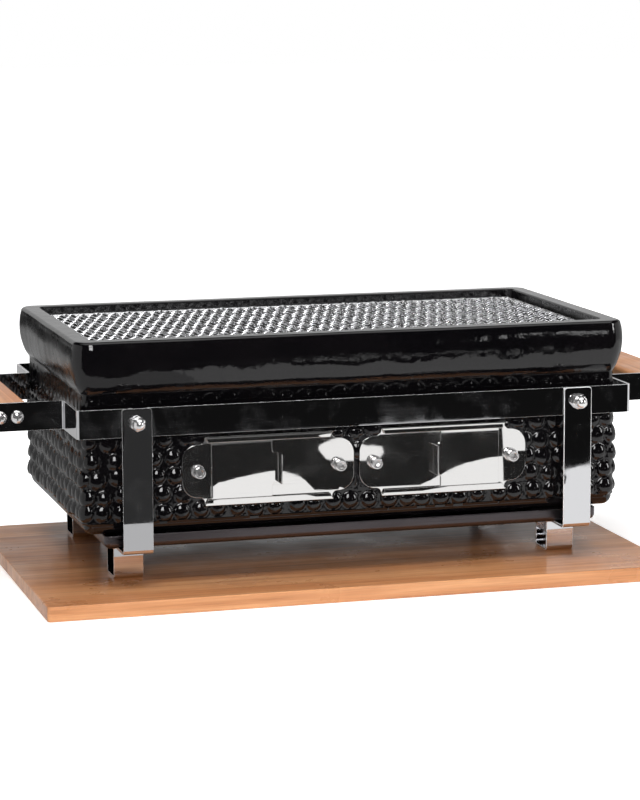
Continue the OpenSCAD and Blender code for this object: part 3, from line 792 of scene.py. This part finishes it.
def make_cooking_mesh():
    """Woven wires with three crimps to each opening, an odd number, so that crossings alternate."""
    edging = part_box("mesh_frame")[1]
    random = np.random.default_rng(12)
    middle, crimp = mid("cooking_mesh").z, MESH_WIRE / 2
    reach = {0: edging.x - 2.4 * MM, 1: edging.y - 2.4 * MM}
    wires = []
    for axis, count in ((0, int(reach[1] / MESH_PITCH)), (1, int(reach[0] / MESH_PITCH))):
        for i in range(-count, count + 1):
            run = np.arange(-reach[axis], reach[axis], 0.9 * MM)
            sign = (-1) ** i * (1 if axis == 0 else -1)
            points = np.zeros((len(run), 3))
            points[:, axis] = run
            drift = np.sin(run / reach[axis] * 2 + random.uniform(0, 6)) * random.uniform(0, 0.35 * MM)
            points[:, 1 - axis] = i * MESH_PITCH + drift
            points[:, 2] = middle + sign * crimp * np.cos(math.pi * MESH_CRIMPS * run / MESH_PITCH)
            wires.append(wire(points, MESH_WIRE / 2))
    piece("woven_mesh", *joined(wires), "mesh", "mesh_wire", [WIRE], ["cooking_mesh"], 60)


def make_mesh_edging():
    """Folded edging with the wire ends wrapped over it, which show as even lumps."""
    low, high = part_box("mesh_frame")
    thick = high.z - low.z
    radius, lump = thick / 2 - 0.45 * MM, 0.45 * MM
    length, width = high.x - low.x - thick, high.y - low.y - thick
    line, out = round_rect_ring(length, width, CAVITY_R - thick / 2, (low.z + high.z) / 2, 1.0 * MM,
                                8, 376 * MM, 184 * MM)
    along_x = abs(out[:, 1]) > 0.999
    along_y = abs(out[:, 0]) > 0.999
    place = np.where(along_x, line[:, 0], line[:, 1])
    off = np.abs((place / (2 * MESH_PITCH) + 0.5) % 1 - 0.5) * 2 * MESH_PITCH
    swell = np.where(along_x | along_y, np.exp(-(off / (1.9 * MM)) ** 4), 0)
    rings = []
    for turn in np.linspace(0, 2 * math.pi, 14, endpoint=False):
        shift = out * math.cos(turn) + np.array([0, 0, 1]) * math.sin(turn)
        rings.append(line + shift * (radius + lump * swell)[:, None])
    piece("mesh_edging", *looped_skin(np.stack(rings, 1)), "mesh", "mesh_edge", [EDGING],
          ["mesh_frame"], 60)


# ---- Turned and pressed fasteners ----

def turned(profile, columns, shape=None, wrap=False, arc=2 * math.pi):
    """Skin turned round the Y axis from (height towards -Y, radius) points. shape scales the
    radius round the axis. wrap joins the profile's last point to its first, as in a washer."""
    full = arc > 2 * math.pi - 1e-6
    angles = np.linspace(0, arc, columns, endpoint=not full)
    rings = []
    for height, radius in profile:
        around = np.full(len(angles), radius) if shape is None else shape(angles, height, radius)
        rings.append(np.stack([around * np.cos(angles), np.full(len(angles), -height),
                               around * np.sin(angles)], 1))
    rings = np.array(rings)
    if full and not wrap:
        return closed_skin(rings)
    if full:
        return looped_skin(rings)
    return closed_skin(np.swapaxes(rings, 0, 1)[:, ::-1])


def hexagon(flats):
    """Radius round a hexagon of that width across the flats, no more than the given radius."""
    def around(angles, height, radius):
        edge = flats / 2 / np.cos((angles + math.pi / 6) % (math.pi / 3) - math.pi / 6)
        return np.minimum(edge, radius)
    return around


def copies(part, spots):
    """The same part at every spot, as one."""
    return joined([moved(part, spot) for spot in spots])


def cut_part(part, cutters):
    """A part with closed shapes cut out of it, as points and faces."""
    made = raw("part", *part)
    cut(made, cutters)
    points = np.array([v.co for v in made.data.vertices])
    faces = [list(p.vertices) for p in made.data.polygons]
    bpy.data.objects.remove(made)
    return points, faces


def in_mm(rows):
    """A profile whose rows were written in millimetres."""
    return [(height * MM, radius * MM) for height, radius in rows]


def make_dome_nuts():
    """M6 cap nuts: a chamfered hexagon under a round dome."""
    z, x = mid("dome_nuts").z, mid("right_hoop").x
    face_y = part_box("right_hoop")[1].y
    top, dome = 5 * MM, 4.6 * MM
    profile = in_mm([(0, 4.9), (0.35, 5.4), (0.7, 5.9), (4.3, 5.9), (4.65, 5.4), (5.0, 4.85),
                     (5.02, 4.45), (5.35, 4.6)])
    bulb = [(7 * MM + dome * math.sin(t), dome * math.cos(t)) for t in np.linspace(0, 1.5, 12)]
    bounds = hexagon(NUT_FLATS)

    def around(angles, height, radius):
        return bounds(angles, height, radius) if height < top + 1e-6 else np.full(len(angles), radius)

    nut = turned(profile + bulb, 60, around)
    spots = both_sides(x, face_y, z, 0.35) + both_sides(-x, face_y, z, 0.1)
    piece("dome_nuts_fine", *copies(nut, spots), "grill", "fastener_steel", [FASTENER],
          ["dome_nuts"], 28)


def make_bolts():
    """M6 hexagon bolts, heads inside the bands, shanks up into the dome nuts."""
    z, x = mid("dome_nuts").z, mid("right_hoop").x
    band_face = abs(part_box("front_band")[0].y) - STRAP_T
    shank_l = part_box("hoop_bolts")[1].y - band_face - 0.2 * MM
    head = turned(in_mm([(-4, 4.7), (-3.6, 5.9), (0, 5.9)]), 60, hexagon(NUT_FLATS))
    shank = turned([(-0.5 * MM, 2.95 * MM), (shank_l, 2.95 * MM)], 32)
    bolt = joined([head, shank])
    spots = both_sides(x, band_face, z, 0.6) + both_sides(-x, band_face, z, 0.9)
    piece("hoop_bolts_fine", *copies(bolt, spots), "grill", "fastener_steel", [FASTENER],
          ["hoop_bolts"], 28)


def make_grip_screws():
    """Phillips pan-head screws, two through each end of an arm into the grip's end."""
    z = mid("grip_screws").z
    arm_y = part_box("left_grip")[1].y + STRAP_T
    screw = turned(in_mm([(-22, 0.6), (-19, 1.9), (0.0, 1.95), (0.02, 4.45), (0.25, 4.7),
                          (0.9, 4.72), (1.5, 4.5), (2.1, 3.9), (2.6, 2.9), (2.9, 1.7),
                          (3.0, 0.8)]), 40)
    wing, deep = 0.62 * MM, 1.2 * MM
    blades = [block((-2.4 * MM, -4 * MM, -wing), (2.4 * MM, -deep, wing)),
              block((-wing, -4 * MM, -2.4 * MM), (wing, -deep, 2.4 * MM))]
    screw = cut_part(screw, blades)
    spots = []
    outer_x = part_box("grip_screws")[1].x - GRIP_SCREW_R
    for side in (-1, 1):
        for x in (outer_x, outer_x - GRIP_SCREW_PITCH):
            spots += both_sides(side * x, arm_y, z, 0.7 * len(spots) + 0.3)
    piece("grip_screws_fine", *copies(screw, spots), "grill", "fastener_steel", [FASTENER],
          ["grip_screws"], 30)


def make_vent_fasteners():
    """M5 socket cap screws with knurled heads, each on a split spring washer and a flat one."""
    base_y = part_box("vent_screws")[0].y + SOCKET_HEAD_H

    def knurled(angles, height, radius):
        """The widest stretch of the head, with thirty shallow flutes."""
        flute = 0.11 * MM * (np.cos(angles * 30) < 0) * (radius > 4.2 * MM)
        return radius - flute

    screw = turned(in_mm([(-18.5, 2.2), (-18, 2.45), (0, 2.45), (0.02, 4.05), (0.3, 4.25),
                          (4.4, 4.25), (4.85, 4.0), (5.0, 3.6)]), 120, knurled)
    socket = turned([(2.2 * MM, 2.4 * MM), (6 * MM, 2.4 * MM)], 36, hexagon(4 * MM))
    flare = turned([(4.7 * MM, 2.0 * MM), (5.3 * MM, 2.7 * MM)], 36)
    screw = cut_part(screw, [socket, flare])
    piece("vent_screws_fine", *copies(screw, vent_screw_spots(base_y)), "grill", "fastener_steel",
          [FASTENER], ["vent_screws"], 30)
    edge = 0.15 * MM

    def washer_line(inner, outer, t):
        return [(edge, inner), (0, inner + edge), (0, outer - edge), (edge, outer), (t - edge, outer),
                (t, outer - edge), (t, inner + edge), (t - edge, inner)]

    flat_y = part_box("vent_washers")[1].y
    washer = turned(washer_line(2.75 * MM, 5 * MM, 1 * MM), 48, wrap=True)
    piece("vent_washers_fine", *copies(washer, vent_screw_spots(flat_y)), "grill", "fastener_steel",
          [FASTENER], ["vent_washers"], 30)
    spring_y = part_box("vent_spring_washers")[1].y
    spring = turned(washer_line(2.75 * MM, 4.15 * MM, 1.6 * MM), 48, arc=2 * math.pi - 0.22)
    piece("vent_spring_washers_fine", *copies(spring, vent_screw_spots(spring_y)), "grill", "spring_steel",
          [SPRING], ["vent_spring_washers"], 30)


def mid(node):
    """Middle of a CAD node's box."""
    low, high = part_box(node)
    return (Vector(low) + Vector(high)) / 2


make_trough()
make_tray()
make_cooking_mesh()
make_mesh_edging()
make_dome_nuts()
make_bolts()
make_grip_screws()
make_vent_fasteners()
for node, body, slot, *look in (
        ("base_board", "board", "bamboo", BOARD, 0.9 * MM),
        ("charcoal_grate", "grate", "grate_steel", GRATE, 0.35 * MM),
        ("front_band", "grill", "strap_steel", STRAP_X, STRAP_EDGE_R, STRAP_EDGE_HIGHLIGHT),
        ("back_band", "grill", "strap_steel", STRAP_X, STRAP_EDGE_R, STRAP_EDGE_HIGHLIGHT),
        ("left_hoop", "grill", "strap_steel", STRAP_Z, STRAP_EDGE_R, STRAP_EDGE_HIGHLIGHT),
        ("right_hoop", "grill", "strap_steel", STRAP_Z, STRAP_EDGE_R, STRAP_EDGE_HIGHLIGHT),
        ("left_grip", "grill", "grip_wood", GRIP, 0.6 * MM),
        ("right_grip", "grill", "grip_wood", GRIP, 0.6 * MM),
        ("vent_frame_left", "grill", "vent_steel", VENT, 0.22 * MM),
        ("vent_frame_right", "grill", "vent_steel", VENT, 0.22 * MM),
        ("vent_door_left", "left_door", "vent_steel", VENT, 0.22 * MM),
        ("vent_door_right", "right_door", "vent_steel", VENT, 0.22 * MM),
        ("vent_inserts", "grill", "insert_brass", BRASS, 0.3 * MM)):
    refined(node, body, slot, *look)


# ---- Studio ----

WHITE = (1, 1, 1)

def stretches(*lines):
    """Outline through lines of knots, each smooth inside and meeting the next at a corner."""
    return [tuple(point) for knots in lines for point in smooth_line(knots, 5)]


# Far edge of the pale table, from left to right: a hill under each vent, and the right leg's
TABLE_EDGE = stretches([(-0.07, -0.41), (-0.068, -0.47)],
                       [(-0.0234, -0.47), (-0.0108, -0.5216)],
                       [(-0.002, -0.538), (0.04, -0.57), (0.065, -0.584)],
                       [(0.0705, -0.575), (0.0775, -0.545), (0.0725, -0.482)],
                       [(0.085, -0.478), (0.169, -0.478)],
                       [(0.185, -0.497), (0.224, -0.549), (0.265, -0.584), (0.2865, -0.592)],
                       [(0.2445, -0.4725), (0.288, -0.4725)],
                       [(0.302, -0.505), (0.313, -0.538), (0.36, -0.556)])
# Round patch of light between the two vents
PAPER_MIDDLE = stretches([(0.124, -0.622), (0.135, -0.611), (0.165, -0.608), (0.183, -0.635),
                          (0.1935, -0.672)],
                         [(0.188, -0.683), (0.180, -0.688), (0.183, -0.729)],
                         [(0.168, -0.735), (0.136, -0.69), (0.124, -0.622)])


def flat_card(name, outline, height, color, strength=0.0, seen=True, in_gloss=True):
    """A flat polygon lying at that height. With strength it glows and does not take light."""
    mesh = bpy.data.meshes.new(name)
    mesh.from_pydata([(x, y, height) for x, y in outline], [], [list(range(len(outline)))])
    card = bpy.data.objects.new(name, mesh)
    bpy.context.scene.collection.objects.link(card)
    if strength:
        material = bpy.data.materials.new(name)
        material.use_nodes = True
        tree = material.node_tree
        tree.nodes.clear()
        glow = tree.nodes.new("ShaderNodeEmission")
        glow.inputs["Color"].default_value = (*color, 1)
        glow.inputs["Strength"].default_value = strength
        tree.links.new(glow.outputs[0], tree.nodes.new("ShaderNodeOutputMaterial").inputs[0])
    else:
        material = Shader(name, color, 0.9).material
    mesh.materials.append(material)
    card.visible_camera = seen
    card.visible_glossy = in_gloss
    if strength:
        card.visible_diffuse = False
        card.visible_shadow = False
    return card


def upright_card(name, x, y, low, high, color, strength):
    """A glowing card that only reflections see, standing across Y between x[0] and x[1]."""
    card = flat_card(name, [(x[0], low), (x[1], low), (x[1], high), (x[0], high)], 0, color,
                     strength, seen=False)
    card.matrix_world = Matrix.Translation((0, y, 0)) @ Matrix.Rotation(math.pi / 2, 4, "X")


def strip(x, y):
    """Outline of a rectangle between x[0] and x[1], y[0] and y[1]."""
    return [(x[0], y[0]), (x[1], y[0]), (x[1], y[1]), (x[0], y[1])]


def softbox(name, place, target, size, energy, color=(1, 1, 1)):
    light = bpy.data.lights.new(name, "AREA")
    light.shape = "RECTANGLE"
    light.size, light.size_y = size
    light.energy = energy
    light.color = color
    lamp = bpy.data.objects.new(name, light)
    lamp.location = place
    lamp.rotation_euler = (Vector(target) - Vector(place)).to_track_quat("-Z", "Y").to_euler()
    lamp.visible_glossy = False
    bpy.context.scene.collection.objects.link(lamp)


def make_floor():
    """Pale floor that turns to a plain white glow away from the object, so it has no far edge."""
    pale = (0.95, 0.95, 0.95)
    floor = flat_card("floor", [(-6, -6), (6, -6), (6, 9), (-6, 9)], -0.0002, pale, in_gloss=False)
    s = Shader("floor_paint", pale, 0.95)
    away = s.node("VectorMath", {0: s.place()}, operation="LENGTH").outputs["Value"]
    s.set("Emission Color", (1, 1, 1, 1))
    s.feed("Emission Strength", s.spread(away, 0.45, 1.0, 0.3, 0.8))
    floor.data.materials[0] = s.material


def make_world():
    """White behind the object, and nearly black to everything but the camera."""
    scene = bpy.context.scene
    scene.view_settings.view_transform = "Standard"
    scene.view_settings.look = "None"
    world = bpy.data.worlds.new("studio")
    scene.world = world
    world.use_nodes = True
    tree = world.node_tree
    back = tree.nodes["Background"]
    path = tree.nodes.new("ShaderNodeLightPath")
    tone = tree.nodes.new("ShaderNodeMix")
    tone.data_type = "FLOAT"
    tone.inputs["A"].default_value = 0.007
    tone.inputs["B"].default_value = 1.0
    back.inputs["Color"].default_value = (1, 1, 1, 1)
    tree.links.new(path.outputs["Is Camera Ray"], tone.inputs["Factor"])
    tree.links.new(tone.outputs["Result"], back.inputs["Strength"])


def make_cards():
    """Glowing cards that only polished faces see. Those on the floor stand for the pale table
    round the grill: its far edge draws the light wedges on the vents and the right leg."""
    leg_path = [(-0.125, -0.412), (-0.085, -0.412), (0.012, -0.87), (0.036, -0.99), (0.0, -0.99),
                (-0.022, -0.87)]
    paper_right = [(0.2945, -0.612), (0.335, -0.612), (0.375, -0.738), (0.338, -0.738)]
    rail_y = (-0.738, -0.812)
    for name, outline, strength in (
            ("table", TABLE_EDGE + [(1.4, -0.5), (1.4, 0.2), (-0.07, 0.2)], 1.0),
            ("table_left", [(-0.07, -0.41), (-0.07, 0.2), (-1.2, 0.2), (-1.2, -0.40)], 0.6),
            ("floor_left", leg_path, 0.035),
            ("table_behind", strip((-1.2, 1.4), (0.2, 1.5)), 0.48),
            ("paper_middle", PAPER_MIDDLE, 1.0),
            ("paper_right", paper_right, 1.0),
            ("rail_right", strip((0.205, 0.352), rail_y), 1.0),
            ("rail_left", strip((0.03, 0.18), rail_y), 0.12)):
        flat_card(name, outline, -0.0001, WHITE, strength, seen=False)
    upright_card("backdrop", (-2.5, 2.5), 1.6, 0.2, 0.95, WHITE, 0.6)
    upright_card("window_left", (-0.5, 0.0), -1.6, 0.62, 1.6, WHITE, 11)
    upright_card("low_front", (0.69, 0.80), -1.6, 0.27, 0.38, WHITE, 3.0)
    flat_card("ceiling", strip((-0.9, 0.9), (-0.9, 0.4)), 1.4, WHITE, 1.3, seen=False)
    upright_card("window_right", (1.1, 1.4), -1.15, 0.3, 0.95, WHITE, 11)
    upright = Matrix.Rotation(math.pi / 2, 4, "Z") @ Matrix.Rotation(math.pi / 2, 4, "X")
    for name, x in (("side_left", -2.0), ("side_right", 2.2)):
        side = flat_card(name, strip((-1.5, 1.5), (-0.3, 1.2)), 0, WHITE, 0.6, seen=False)
        side.matrix_world = Matrix.Translation((x, 0.2, 0)) @ upright


make_world()
make_floor()
make_cards()
softbox("overhead", (0.0, -0.25, 1.5), (0, 0, 0.1), (1.6, 1.1), 27)
softbox("fill", (-0.6, -2.4, 1.0), (0, 0, 0.1), (1.2, 0.8), 42)
